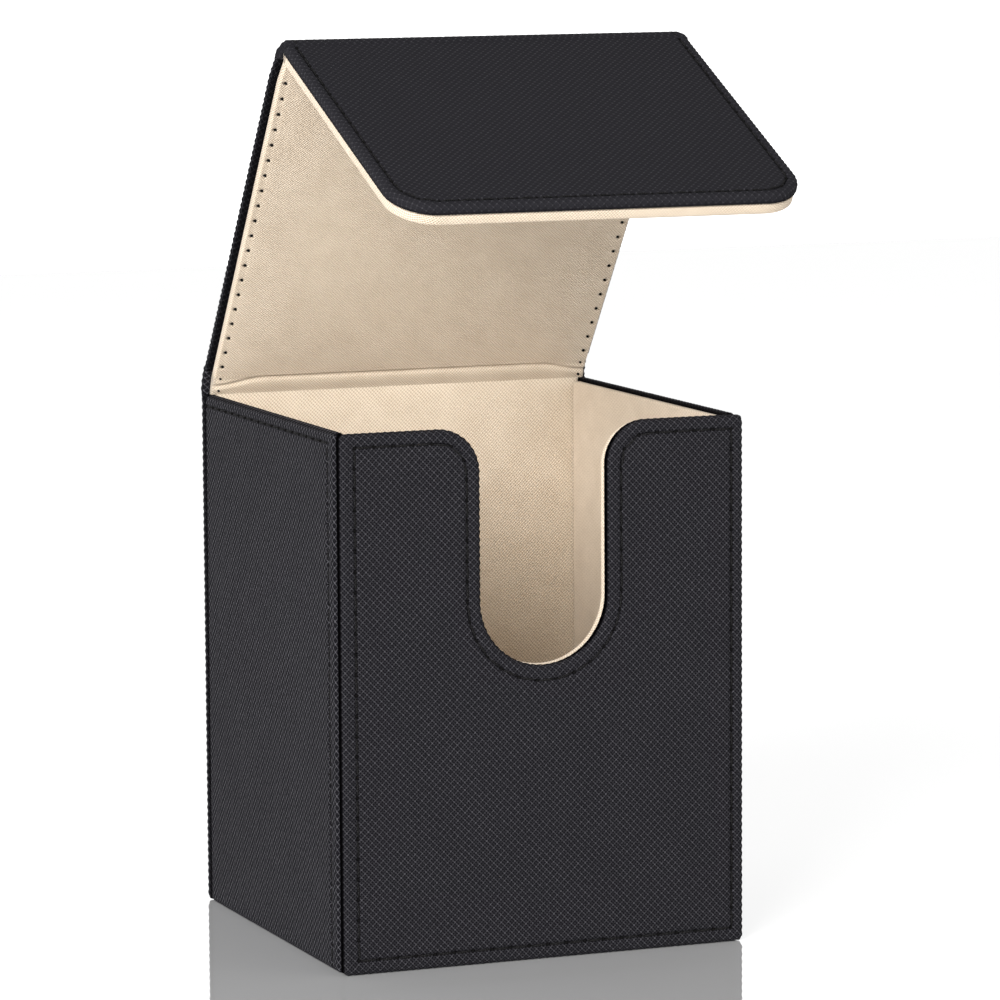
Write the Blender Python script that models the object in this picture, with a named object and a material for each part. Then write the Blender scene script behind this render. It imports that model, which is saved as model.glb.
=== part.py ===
"""Card deck box: a stiff leatherette box with a fold-over lid in two panels.

Frame: metres, +Z up, the box front faces -Y, the origin is the middle of the underside.
The lid is modelled part open, leaning forward over the box, with its flap folded down.

Every wall is a laminate: an outer cover turned over the edges of a board, and a padded
lining on the inside.  Each panel is drawn flat in its own axes (x across, y up or along
the panel, z out of the box) with its outer face at z = 0, and is then turned into place.
"""
import math

import bmesh
import bpy

# Overall size of the box without its lid
BOX_WIDTH = 0.082
BOX_DEPTH = 0.080
BOX_HEIGHT = 0.102

# Laminate, from the outside in
COVER_SKIN = 0.0005
SHELL_THICKNESS = 0.0020
GLUE_GAP = 0.0002
WALL_LINING = 0.0014
LID_LINING = 0.0018
LID_LINING_INSET = 0.0012
EDGE_RADIUS = 0.0010
CORNER_RADIUS = 0.0012
MIN_CORNER_RADIUS = 0.0002
LINING_DROP = 0.0004

# Thumb notch in the front
NOTCH_HALF_WIDTH = 0.01275
NOTCH_DEPTH = 0.0456
NOTCH_SHOULDER = 0.0083

# Lid and flap
LID_OPEN_ANGLE = math.radians(54.5)
FLAP_BEND = math.radians(79.3)
LID_AXIS_INSET = 0.0020
LID_AXIS_RISE = 0.0030
AXIS_TO_OUTER_FACE = 0.0015
FOLD_WIDTH = 0.0836
LID_REACH = 0.0830
LID_START = 0.0025
FOLD_CLEARANCE = 0.0030
FLAP_REACH = 0.0665
FLAP_NEAR_WIDTH = 0.0827
FLAP_FAR_WIDTH = 0.0812
FLAP_CORNER_RADIUS = 0.0085
HINGE_ROLL_RADIUS = 0.0012
HINGE_END_INSET = 0.0010

# Seams
SEAM_INSET = 0.0022
NOTCH_SEAM_INSET = 0.0029
SIDE_SEAM_FRONT_INSET = 0.0045
THREAD_WIDTH = 0.0006
THREAD_THICKNESS = 0.0003

# Closure magnets
MAGNET_RADIUS = 0.0050
MAGNET_THICKNESS = 0.0010
MAGNET_SPACING = 0.054
MAGNET_HEIGHT = 0.053
MAGNET_POCKET_GAP = 0.0003

# Fineness of the round shapes
CORNER_STEPS = 4
NOTCH_STEPS = 20
SHOULDER_STEPS = 8
EDGE_STEPS = 3
MAGNET_SIDES = 32
ROLL_STEPS = 12
SMOOTH_ANGLE = math.radians(35.0)
SAME_POINT = 1e-6

# Sizes that follow from the ones above
WALL_THICKNESS = SHELL_THICKNESS + GLUE_GAP + WALL_LINING
BOARD_THICKNESS = SHELL_THICKNESS - COVER_SKIN - GLUE_GAP
BOARD_INSET = COVER_SKIN + GLUE_GAP
SIDE_LENGTH = BOX_DEPTH - 2 * (SHELL_THICKNESS + GLUE_GAP)
BASE_WIDTH = BOX_WIDTH - 2 * (SHELL_THICKNESS + GLUE_GAP)
LID_LENGTH = LID_REACH - LID_START - FOLD_CLEARANCE


def clear_scene():
    for item in list(bpy.data.objects):
        bpy.data.objects.remove(item, do_unlink=True)


def make_material(name, colour, roughness, metallic=0.0):
    material = bpy.data.materials.new(name)
    material.use_nodes = True
    shader = material.node_tree.nodes["Principled BSDF"]
    shader.inputs["Base Color"].default_value = (*colour, 1.0)
    shader.inputs["Roughness"].default_value = roughness
    shader.inputs["Metallic"].default_value = metallic
    material.diffuse_color = (*colour, 1.0)
    return material


def make_empty(name, location, rotation=(0.0, 0.0, 0.0), parent=None):
    empty = bpy.data.objects.new(name, None)
    empty.location = location
    empty.rotation_euler = rotation
    empty.parent = parent
    bpy.context.scene.collection.objects.link(empty)
    return empty


def make_object(name, shape, material, parent):
    """Turn a bmesh into a named object in its parent's axes."""
    bmesh.ops.recalc_face_normals(shape, faces=shape.faces)
    mesh = bpy.data.meshes.new(name)
    shape.to_mesh(mesh)
    shape.free()
    mesh.shade_smooth()
    mesh.set_sharp_from_angle(angle=SMOOTH_ANGLE)
    mesh.materials.append(material)
    item = bpy.data.objects.new(name, mesh)
    item.parent = parent
    bpy.context.scene.collection.objects.link(item)
    return item


# Outlines: each is a list of (x, y) points, anticlockwise, pulled in by an inset


def arc(centre, radius, start, end, steps):
    points = []
    for step in range(steps + 1):
        angle = math.radians(start + (end - start) * step / steps)
        points.append((centre[0] + radius * math.cos(angle), centre[1] + radius * math.sin(angle)))
    return points


def panel_outline(width, low, high, low_radius, high_radius, inset):
    """Rectangle between two heights, with one radius for its low and one for its high corners."""
    half = width / 2
    low_in = half - low_radius
    high_in = half - high_radius
    points = arc((-low_in, low + low_radius), low_radius - inset, 180, 270, CORNER_STEPS)
    points += arc((low_in, low + low_radius), low_radius - inset, 270, 360, CORNER_STEPS)
    points += arc((high_in, high - high_radius), high_radius - inset, 0, 90, CORNER_STEPS)
    points += arc((-high_in, high - high_radius), high_radius - inset, 90, 180, CORNER_STEPS)
    return points


def front_outline(inset, notch_inset=None):
    """Front panel: a rectangle with a round-shouldered, round-bottomed notch in its top edge."""
    if notch_inset is None:
        notch_inset = inset
    corner = max(CORNER_RADIUS - inset, MIN_CORNER_RADIUS)
    reach = BOX_WIDTH / 2 - inset - corner
    low = inset + corner
    high = BOX_HEIGHT - inset - corner
    shoulder = NOTCH_SHOULDER - notch_inset
    shoulder_x = NOTCH_HALF_WIDTH + NOTCH_SHOULDER
    shoulder_y = BOX_HEIGHT - inset - shoulder
    notch_centre = (0.0, BOX_HEIGHT - NOTCH_DEPTH + NOTCH_HALF_WIDTH)
    notch_radius = NOTCH_HALF_WIDTH + notch_inset
    points = arc((-reach, low), corner, 180, 270, CORNER_STEPS)
    points += arc((reach, low), corner, 270, 360, CORNER_STEPS)
    points += arc((reach, high), corner, 0, 90, CORNER_STEPS)
    points += arc((shoulder_x, shoulder_y), shoulder, 90, 180, SHOULDER_STEPS)
    points += arc(notch_centre, notch_radius, 0, -180, NOTCH_STEPS)
    points += arc((-shoulder_x, shoulder_y), shoulder, 0, 90, SHOULDER_STEPS)
    points += arc((-reach, high), corner, 90, 180, CORNER_STEPS)
    return points


def wall_outline(width, low, high, inset):
    """Plain panel whose corners stay slightly round at any inset."""
    radius = max(CORNER_RADIUS, inset + MIN_CORNER_RADIUS)
    return panel_outline(width, low, high, radius, radius, inset)


def lid_outline(inset):
    """Lid panel: as wide as the box at its hinge, and slightly wider at the fold."""
    points = wall_outline(BOX_WIDTH, LID_START, LID_START + LID_LENGTH, inset)
    return [(x * lid_width_at(y) / BOX_WIDTH, y) for x, y in points]


def lid_width_at(along):
    return BOX_WIDTH + (FOLD_WIDTH - BOX_WIDTH) * along / LID_REACH


def flap_outline(inset):
    """Flap panel: square by the fold, with large round corners at its slightly narrower end."""
    near_radius = max(CORNER_RADIUS, inset + MIN_CORNER_RADIUS)
    points = panel_outline(
        FLAP_NEAR_WIDTH, FOLD_CLEARANCE, FLAP_REACH, near_radius, FLAP_CORNER_RADIUS, inset
    )
    return [flap_narrowed(x, y) for x, y in points]


def flap_narrowed(x, along):
    """Moves a point of a straight-sided flap onto the one that narrows to its free end."""
    width = FLAP_NEAR_WIDTH + (FLAP_FAR_WIDTH - FLAP_NEAR_WIDTH) * along / FLAP_REACH
    return x * width / FLAP_NEAR_WIDTH, along


# Solids drawn from outlines


def add_loop(shape, outline, height):
    return [shape.verts.new((x, y, height)) for x, y in outline]


def join_loops(shape, first, second):
    count = len(first)
    for index in range(count):
        after = (index + 1) % count
        shape.faces.new((first[index], first[after], second[after], second[index]))


def plate(outline, low, high):
    """Flat plate between two heights."""
    shape = bmesh.new()
    top = add_loop(shape, outline, high)
    bottom = add_loop(shape, outline, low)
    shape.faces.new(top)
    shape.faces.new(reversed(bottom))
    join_loops(shape, top, bottom)
    return shape


def ring(outer, inner, low, high):
    """Closed band between two outlines."""
    shape = bmesh.new()
    loops = [
        add_loop(shape, outer, high),
        add_loop(shape, outer, low),
        add_loop(shape, inner, low),
        add_loop(shape, inner, high),
    ]
    for index, loop in enumerate(loops):
        join_loops(shape, loop, loops[(index + 1) % len(loops)])
    return shape


def cover_shell(outline):
    """Cover: a thin tray with a rounded outer edge, open at the back where the board sits."""
    shape = bmesh.new()
    loops = []
    for step in range(EDGE_STEPS + 1):
        angle = math.pi / 2 * step / EDGE_STEPS
        inset = EDGE_RADIUS * (1 - math.sin(angle))
        height = -EDGE_RADIUS * (1 - math.cos(angle))
        loops.append(add_loop(shape, outline(inset), height))
    loops.append(add_loop(shape, outline(0.0), -SHELL_THICKNESS))
    loops.append(add_loop(shape, outline(COVER_SKIN), -SHELL_THICKNESS))
    loops.append(add_loop(shape, outline(COVER_SKIN), -COVER_SKIN))
    for first, second in zip(loops, loops[1:]):
        join_loops(shape, first, second)
    shape.faces.new(loops[0])
    shape.faces.new(loops[-1])
    return shape


def board_plate(outline):
    return plate(outline(BOARD_INSET), -SHELL_THICKNESS, -COVER_SKIN - GLUE_GAP)


def lining_plate(outline_points, thickness):
    top = -SHELL_THICKNESS - GLUE_GAP
    return plate(outline_points, top - thickness, top)


def thread_on(path, inset):
    """Thread along an open path, lying just proud of the outer face."""
    outer = path(inset - THREAD_WIDTH / 2)
    inner = path(inset + THREAD_WIDTH / 2)
    return plate(outer + inner[::-1], GLUE_GAP, GLUE_GAP + THREAD_THICKNESS)


def shift(item, location, rotation=(0.0, 0.0, 0.0)):
    item.location = location
    item.rotation_euler = rotation


# Panels of the box


def make_front(parent, materials):
    make_object("front_cover", cover_shell(front_outline), materials["leatherette"], parent)
    board = make_object("front_board", board_plate(front_outline), materials["board"], parent)
    make_magnet_pair("front", board, MAGNET_HEIGHT, parent, materials)
    seam = ring(
        front_outline(SEAM_INSET - THREAD_WIDTH / 2, NOTCH_SEAM_INSET - THREAD_WIDTH / 2),
        front_outline(SEAM_INSET + THREAD_WIDTH / 2, NOTCH_SEAM_INSET + THREAD_WIDTH / 2),
        GLUE_GAP,
        GLUE_GAP + THREAD_THICKNESS,
    )
    make_object("front_stitching", seam, materials["thread"], parent)
    lining = lining_plate(front_lining_outline(), WALL_LINING)
    make_object("front_lining", lining, materials["lining"], parent)


def front_lining_outline():
    """Front lining: the same notch, narrower so that it fits between the side walls."""
    points = []
    limit = BASE_WIDTH / 2
    low = SHELL_THICKNESS + WALL_LINING + 2 * GLUE_GAP
    for x, y in front_outline(LINING_DROP, 0.0):
        points.append((min(max(x, -limit), limit), max(y, low)))
    return without_repeats(points)


def without_repeats(points):
    kept = []
    for point in points:
        if not kept or math.dist(point, kept[-1]) > SAME_POINT:
            kept.append(point)
    if math.dist(kept[0], kept[-1]) < SAME_POINT:
        kept.pop()
    return kept


def make_wall(name, width, lining_width, parent, materials):
    """Plain wall of the box: cover, board and lining."""

    def outline(inset):
        return wall_outline(width, 0.0, BOX_HEIGHT, inset)

    make_object(name + "_cover", cover_shell(outline), materials["leatherette"], parent)
    make_object(name + "_board", board_plate(outline), materials["board"], parent)
    low = SHELL_THICKNESS + WALL_LINING + 2 * GLUE_GAP
    lining = wall_outline(lining_width, low, BOX_HEIGHT - LINING_DROP, 0.0)
    make_object(name + "_lining", lining_plate(lining, WALL_LINING), materials["lining"], parent)


def make_back(parent, materials):
    make_wall("back", BOX_WIDTH, BASE_WIDTH, parent, materials)

    def u_path(inset):
        side = BOX_WIDTH / 2 - inset
        top = BOX_HEIGHT - EDGE_RADIUS
        return [(-side, top), (-side, inset), (side, inset), (side, top)]

    make_object("back_stitching", thread_on(u_path, SEAM_INSET), materials["thread"], parent)


def make_side(name, front_sign, parent, materials):
    """Left or right wall; front_sign says on which side of its own x axis the box front lies."""
    lining_width = BOX_DEPTH - 2 * (WALL_THICKNESS + GLUE_GAP)
    make_wall(name, SIDE_LENGTH, lining_width, parent, materials)

    def corner_path(inset):
        further_in = SIDE_SEAM_FRONT_INSET - SEAM_INSET
        front = front_sign * (SIDE_LENGTH / 2 - inset - further_in)
        rear = -front_sign * (SIDE_LENGTH / 2 - EDGE_RADIUS)
        top = BOX_HEIGHT - inset
        return [(front, EDGE_RADIUS), (front, top), (rear, top)]

    seam = thread_on(corner_path, SEAM_INSET)
    make_object(name + "_stitching", seam, materials["thread"], parent)


def make_base(parent, materials):
    """Base panel, held between the feet of the four walls."""

    def outline(inset):
        return wall_outline(BASE_WIDTH, -SIDE_LENGTH / 2, SIDE_LENGTH / 2, inset)

    make_object("base_cover", cover_shell(outline), materials["leatherette"], parent)
    make_object("base_board", board_plate(outline), materials["board"], parent)
    make_object("base_lining", lining_plate(outline(0.0), WALL_LINING), materials["lining"], parent)


# Lid, flap and their soft folds


def make_lid(parent, materials):
    face = make_empty("lid_face", (0.0, 0.0, AXIS_TO_OUTER_FACE), parent=parent)
    make_object("lid_cover", cover_shell(lid_outline), materials["leatherette"], face)
    make_object("lid_board", board_plate(lid_outline), materials["board"], face)
    lining = lining_plate(lid_outline(LID_LINING_INSET), LID_LINING)
    make_object("lid_lining", lining, materials["lining"], face)
    for name, side in (("lid_stitching_left", 1), ("lid_stitching_right", -1)):

        def straight_path(inset, side=side):
            start = LID_START + EDGE_RADIUS
            end = LID_START + LID_LENGTH - EDGE_RADIUS
            return [(side * (lid_width_at(along) / 2 - inset), along) for along in (start, end)]

        make_object(name, thread_on(straight_path, SEAM_INSET), materials["thread"], face)


def make_flap(parent, materials):
    face = make_empty("flap_face", (0.0, 0.0, AXIS_TO_OUTER_FACE), parent=parent)
    make_object("flap_cover", cover_shell(flap_outline), materials["leatherette"], face)
    board = make_object("flap_board", board_plate(flap_outline), materials["board"], face)
    magnet_along = BOX_HEIGHT + LID_AXIS_RISE - MAGNET_HEIGHT
    make_magnet_pair("flap", board, magnet_along, face, materials)
    lining = lining_plate(flap_outline(LINING_DROP), LID_LINING)
    make_object("flap_lining", lining, materials["lining"], face)

    def free_edge_path(inset):
        side = FLAP_NEAR_WIDTH / 2 - inset
        turn = FLAP_CORNER_RADIUS - inset
        along = FLAP_REACH - FLAP_CORNER_RADIUS
        start = FOLD_CLEARANCE + EDGE_RADIUS
        across = FLAP_NEAR_WIDTH / 2 - FLAP_CORNER_RADIUS
        points = [(side, start)]
        points += arc((across, along), turn, 0, 90, CORNER_STEPS)
        points += arc((-across, along), turn, 90, 180, CORNER_STEPS)
        points.append((-side, start))
        return [flap_narrowed(x, y) for x, y in points]

    make_object("flap_stitching", thread_on(free_edge_path, SEAM_INSET), materials["thread"], face)


def make_magnet_pair(name, board, height, parent, materials):
    """Two disc magnets, each in a round hole through its board."""
    middle = -COVER_SKIN - GLUE_GAP - BOARD_THICKNESS / 2
    # A panel's own +x is the box's right on the front and the box's left on the lid and flap
    left_sign = -1 if name == "front" else 1
    for side, sign in (("left", left_sign), ("right", -left_sign)):
        place = (sign * MAGNET_SPACING / 2, height, middle)
        disc = bmesh.new()
        bmesh.ops.create_cone(
            disc,
            cap_ends=True,
            segments=MAGNET_SIDES,
            radius1=MAGNET_RADIUS,
            radius2=MAGNET_RADIUS,
            depth=MAGNET_THICKNESS,
        )
        magnet = make_object(name + "_magnet_" + side, disc, materials["magnet"], parent)
        shift(magnet, place)
        hole = bmesh.new()
        bmesh.ops.create_cone(
            hole,
            cap_ends=True,
            segments=MAGNET_SIDES,
            radius1=MAGNET_RADIUS + MAGNET_POCKET_GAP,
            radius2=MAGNET_RADIUS + MAGNET_POCKET_GAP,
            depth=2 * BOARD_THICKNESS,
        )
        cutter = make_object(name + "_hole_" + side, hole, materials["board"], parent)
        shift(cutter, place)
        cutter.hide_render = True
        cutter.display_type = "WIRE"
        cut = board.modifiers.new("magnet hole " + side, "BOOLEAN")
        cut.operation = "DIFFERENCE"
        cut.solver = "EXACT"
        cut.object = cutter


def make_lid_hinge(parent, materials):
    """Soft fold between back wall and lid: a web that rises from the wall to a roll on the axis."""
    foot = GLUE_GAP - LID_AXIS_RISE
    outline = arc((0.0, 0.0), HINGE_ROLL_RADIUS, 0, 180, ROLL_STEPS)
    outline += [(-HINGE_ROLL_RADIUS, foot), (HINGE_ROLL_RADIUS, foot)]
    lay_across("lid_hinge_strip", outline, parent, materials)


def make_flap_hinge(parent, materials):
    """Soft fold between lid and flap, as a roll on the fold's axis."""
    outline = arc((0.0, 0.0), HINGE_ROLL_RADIUS, 0, 360, 2 * ROLL_STEPS)[:-1]
    lay_across("flap_hinge_strip", outline, parent, materials)


def lay_across(name, outline, parent, materials):
    """Extrude an outline drawn in the y-z plane along the whole width of the box."""
    half = BOX_WIDTH / 2 - HINGE_END_INSET
    strip = make_object(name, plate(outline, -half, half), materials["leatherette"], parent)
    shift(strip, (0.0, 0.0, 0.0), (math.pi / 2, 0.0, math.pi / 2))


def main():
    clear_scene()
    materials = {
        "leatherette": make_material("black_leatherette", (0.032, 0.031, 0.034), 0.55),
        "board": make_material("grey_board", (0.30, 0.27, 0.23), 0.9),
        "lining": make_material("cream_suede", (0.62, 0.50, 0.37), 0.95),
        "thread": make_material("black_thread", (0.010, 0.010, 0.011), 0.6),
        "magnet": make_material("nickel_magnet", (0.62, 0.60, 0.56), 0.3, 1.0),
    }
    quarter = math.pi / 2
    front = make_empty("front_face", (0.0, -BOX_DEPTH / 2, 0.0), (quarter, 0.0, 0.0))
    back = make_empty("back_face", (0.0, BOX_DEPTH / 2, 0.0), (quarter, 0.0, math.pi))
    left = make_empty("left_face", (-BOX_WIDTH / 2, 0.0, 0.0), (quarter, 0.0, -quarter))
    right = make_empty("right_face", (BOX_WIDTH / 2, 0.0, 0.0), (quarter, 0.0, quarter))
    under = make_empty("under_face", (0.0, 0.0, 0.0), (math.pi, 0.0, 0.0))
    make_front(front, materials)
    make_back(back, materials)
    make_side("left", 1, left, materials)
    make_side("right", -1, right, materials)
    make_base(under, materials)

    axis_place = (0.0, BOX_DEPTH / 2 - LID_AXIS_INSET, BOX_HEIGHT + LID_AXIS_RISE)
    hinge_mount = make_empty("hinge_mount", axis_place)
    make_lid_hinge(hinge_mount, materials)
    lid_pivot = make_empty("lid_pivot", axis_place, (LID_OPEN_ANGLE, 0.0, math.pi))
    make_lid(lid_pivot, materials)
    make_flap_hinge(make_empty("fold_line", (0.0, LID_REACH, 0.0), parent=lid_pivot), materials)
    flap_pivot = make_empty("flap_pivot", (0.0, LID_REACH, 0.0), (-FLAP_BEND, 0.0, 0.0), lid_pivot)
    make_flap(flap_pivot, materials)


main()
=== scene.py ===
import math

import bpy
import numpy as np
from mathutils import Matrix, Vector
from mathutils.geometry import delaunay_2d_cdt
from mathutils.kdtree import KDTree


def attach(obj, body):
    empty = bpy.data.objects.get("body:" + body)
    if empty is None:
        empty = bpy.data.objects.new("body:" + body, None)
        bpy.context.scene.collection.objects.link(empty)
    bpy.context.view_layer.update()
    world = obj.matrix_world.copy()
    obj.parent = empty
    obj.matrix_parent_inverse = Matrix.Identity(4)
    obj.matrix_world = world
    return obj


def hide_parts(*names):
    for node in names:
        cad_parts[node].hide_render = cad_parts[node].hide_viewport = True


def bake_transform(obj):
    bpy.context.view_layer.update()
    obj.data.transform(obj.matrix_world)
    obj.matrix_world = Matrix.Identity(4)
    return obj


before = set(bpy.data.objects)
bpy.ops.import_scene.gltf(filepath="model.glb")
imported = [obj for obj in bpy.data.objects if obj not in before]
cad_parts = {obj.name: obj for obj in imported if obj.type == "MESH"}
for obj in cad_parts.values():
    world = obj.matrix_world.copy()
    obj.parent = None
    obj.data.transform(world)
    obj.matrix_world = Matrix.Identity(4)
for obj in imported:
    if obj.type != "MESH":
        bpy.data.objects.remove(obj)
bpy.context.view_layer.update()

# Everything below is in metres, and angles are in radians, unless a name says otherwise.
TURN = 2 * math.pi

# The box
WIDTH = 0.082
DEPTH = 0.080
HEIGHT = 0.102
SHELL = 0.0020
GLUE_GAP = 0.0002
WALL_LINING = 0.0014
LID_LINING = 0.0018
SIDE_LENGTH = DEPTH - 2 * (SHELL + GLUE_GAP)
BASE_WIDTH = WIDTH - 2 * (SHELL + GLUE_GAP)
CORNER_RADIUS = 0.0012
SHARPEST_RADIUS = 0.00015
SIDE_GROOVE = 0.00055

# An edge that meets a fold moves in by only this share of an inset
FLUSH = 0.02

# How much painted shade darkens a turned edge, at the box's corners and elsewhere
CORNER_RIM_PAINTED_SHADE = 2.2
PLAIN_RIM_PAINTED_SHADE = 0.6

# Thumb notch
NOTCH_HALF_WIDTH = 0.01275
NOTCH_DEPTH = 0.0456
NOTCH_SHOULDER = 0.0083

# Lid and flap, at rest
HINGE = Vector((0.0, 0.038, 0.105))
LID_RISE = math.radians(54.5)
FLAP_FALL = math.radians(24.8)
AXIS_TO_FACE = 0.0015
LID_START = 0.0025
LID_REACH = 0.0830
FOLD_WIDTH = 0.0836
FOLD_ROUND = 0.0032
FOLD_PINCH = 0.0009
FOLD_TAPER_LENGTH = 0.0045
FOLD_TAPER_RADIUS = 0.012
FOLD_CLEARANCE = 0.0030
FOLD_SHOULDER = 0.0003
FOLD_CREASE_DEPTH = 0.0029
FLAP_REACH = 0.0665
FLAP_NEAR_WIDTH = 0.0827
FLAP_FAR_WIDTH = 0.0812
FLAP_CORNER_RADIUS = 0.0085
LID_PAD_INSET = 0.0012
LINING_DROP = 0.0004
WALL_PAD_DROP = 0.0007
FLAP_PAD_INSET = 0.0001
FLAP_PAD_SIDE_INSET = 0.0005
FLAP_PAD = 0.0020
LINING_FOOT = SHELL + WALL_LINING + 2 * GLUE_GAP

# The lid fold's lining: how far it bulges, and its crease as a share of the way to the lid
LID_FOLD_BULGE = 0.00045
CREASE_DEPTH = 0.00050
CREASE_WIDTH_SHARE = 0.10
CREASE_SHARE = 0.86
END_CREASE_SHARE = 0.46
BULGE_END_SHARE = 0.85
CREASE_BEND_START = 0.72

# Seams
SEAM_INSET = 0.0022
FRONT_SEAM_INSET = 0.0026
FRONT_LEFT_SEAM_INSET = 0.00305
NOTCH_SEAM_INSET = 0.0029
BOTTOM_SEAM_INSET = 0.0028
SIDE_SEAM_FRONT_INSET = 0.0045
SIDE_SEAM_END = 0.0012
BOX_STITCH_PITCH = 0.0038
LID_STITCH_PITCH = 0.0038
STITCH_RADIUS = 0.00021
STITCH_MARGIN = 0.06
STITCH_SLANT = 0.00016
NEEDLE_LENGTH = 0.0007
NEEDLE_RADIUS = 0.00027
NEEDLE_START = 0.0025
FOLD_BIT_SHARES = (0.22, 0.90)
NEEDLE_INSET = 0.0025
NEEDLE_DEPTH = -0.0001
NEEDLE_SINK = 0.0004
THREAD_HEIGHT = -0.00006
THREAD_SINK = 0.00045
VALLEY_DEPTH = 0.00036
VALLEY_WIDTH = 0.00028
HOLE_DEPTH = 0.00030
HOLE_WIDTH = 0.00032
DEEPEST_PULL = 0.00058
SOFT_HOLE_DEPTH = 0.00055
SOFT_HOLE_WIDTH = 0.00034
HOLE_KNOT_RADIUS = 0.00027
KNOT_LENGTH = 0.0006
KNOT_HEIGHT = -0.00012
SEAM_END = 0.0006
SHARP_TURN = math.radians(50.0)
FOLD_STITCHES = 2

# Cross-hatched leatherette grain; a weave is two pitches of ribs and how much each shows
GRAIN_PITCH = 0.001436
GRAIN_RELIEF = 0.00014
TOOTH_RELIEF = 0.00016
TOOTH_SLANT = 0.45
GRAIN_BUMP = 0.00016
WEAVE_BUMP = 0.00014
LID_WEAVE = (0.00066, 0.00064, 0.9, 1.2)
WALL_WEAVE = (0.000826, 0.000644, 0.85, 0.95)

# Where a cover's relief comes in, as insets from its edge
GRAIN_FADE = (0.0010, 0.0036)
ROPE_FADE = (0.0001, 0.0008)
CALM_FADE = (0.0001, 0.0012)
SWELL_FADE = (0.003, 0.006)

# The same, by how far its surface faces out of the panel, from -1 to 1
UNDERSIDE_FADE = (-0.95, -0.30)
FACE_FADE = (0.3, 0.9)

# How deep a surface lies, from 0 to 1, where painted shade darkens its colour
PAINTED_SHADE_FADE = (0.30, 0.85)
HOLE_SHADE_FADE = (0.25, 0.75)

# Fineness
SMOOTH_ANGLE = math.radians(50.0)
EDGE_SPACING = 0.00028
FIELD_SPACING = 0.0016
CORNER_STEPS = 24
FOLD_SAMPLES = 30
FOLD_SEGMENTS = 150
FOLD_ARC_STEPS = 10
SWELL_WAVES = 6

# Camera, in front of the box, a little to the left and above its middle
CAMERA_PLACE = (-0.37437, -0.95405, 0.21370)
CAMERA_YAW = math.radians(-21.784)
CAMERA_PITCH = math.radians(7.263)
CAMERA_ROLL = math.radians(0.353)
CAMERA_LENS_MM = 191.09
SENSOR_WIDTH_MM = 36.0

# Colours, linear
LEATHER_DARK = (0.0040, 0.0038, 0.0052)
LEATHER_SMOOTH = (0.0125, 0.0120, 0.0145)
# Painted shade for deep turned edges, seam valleys and holes
LEATHER_PAINTED_SHADE = (0.0012, 0.0011, 0.0013)
# Painted highlight on the grain's ridges, over the black leather
LEATHER_RIDGE_HIGHLIGHT = (0.105, 0.102, 0.114)
LINING_PALE = (0.79, 0.685, 0.555)
LINING_DEEP = (0.42, 0.32, 0.22)
# Painted shade in the lining's needle holes and under the folds' turned ends
LINING_HOLE_SHADE = (0.045, 0.033, 0.024)
THREAD_BLACK = (0.0020, 0.0018, 0.0018)
# Painted glints on the thread
THREAD_GLINT = (0.060, 0.058, 0.062)
BOARD_GREY = (0.25, 0.23, 0.20)
NICKEL = (0.60, 0.58, 0.55)

# Floor, and a surround that is bright low down and dimmer overhead
FLOOR_HALF_SIZE = 1.5
FLOOR_GLOSS = 0.67
FLOOR_ROUGHNESS = 0.03
WALL_LIGHT = 1.52
CEILING_LIGHT = 0.25
LOW_SKY = 0.28
HIGH_SKY = 0.60
FLOOR_WHITE = (0.95, 0.95, 0.95, 1.0)


# Panel axes: where a panel's own x, y and height lie in the box's frame


def axes(origin, across, along):
    """Origin and the three directions of a panel; height is measured along the third."""
    across, along = Vector(across), Vector(along)
    return Vector(origin), across, along, across.cross(along)


def turned_over(panel, depth):
    """The same panel seen from its inner side, with its heights starting at a depth."""
    origin, across, along, out = panel
    return origin - out * depth, -across, along, -out


LID_ALONG = Vector((0.0, -math.cos(LID_RISE), math.sin(LID_RISE)))
LID_OUT = Vector((0.0, math.sin(LID_RISE), math.cos(LID_RISE)))
FLAP_ALONG = Vector((0.0, -math.cos(FLAP_FALL), -math.sin(FLAP_FALL)))
FLAP_OUT = Vector((0.0, -math.sin(FLAP_FALL), math.cos(FLAP_FALL)))
FOLD = HINGE + LID_ALONG * LID_REACH

FRONT = axes((0, -DEPTH / 2, 0), (1, 0, 0), (0, 0, 1))
BACK = axes((0, DEPTH / 2, 0), (-1, 0, 0), (0, 0, 1))
LEFT = axes((-WIDTH / 2, 0, 0), (0, -1, 0), (0, 0, 1))
RIGHT = axes((WIDTH / 2, 0, 0), (0, 1, 0), (0, 0, 1))
BASE = axes((0, 0, 0), (1, 0, 0), (0, -1, 0))
LID = axes(HINGE + LID_OUT * AXIS_TO_FACE, (-1, 0, 0), LID_ALONG)
FLAP = axes(FOLD + FLAP_OUT * AXIS_TO_FACE, (-1, 0, 0), FLAP_ALONG)


def placed(panel, flat, height):
    """Points of a panel in the box's frame."""
    origin, across, along, out = (np.array(part) for part in panel)
    flat = np.asarray(flat)
    height = np.broadcast_to(height, len(flat))
    return origin + flat[:, :1] * across + flat[:, 1:2] * along + height[:, None] * out


# Outlines: a polygon with a radius at each corner, pulled in by an inset


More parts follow.
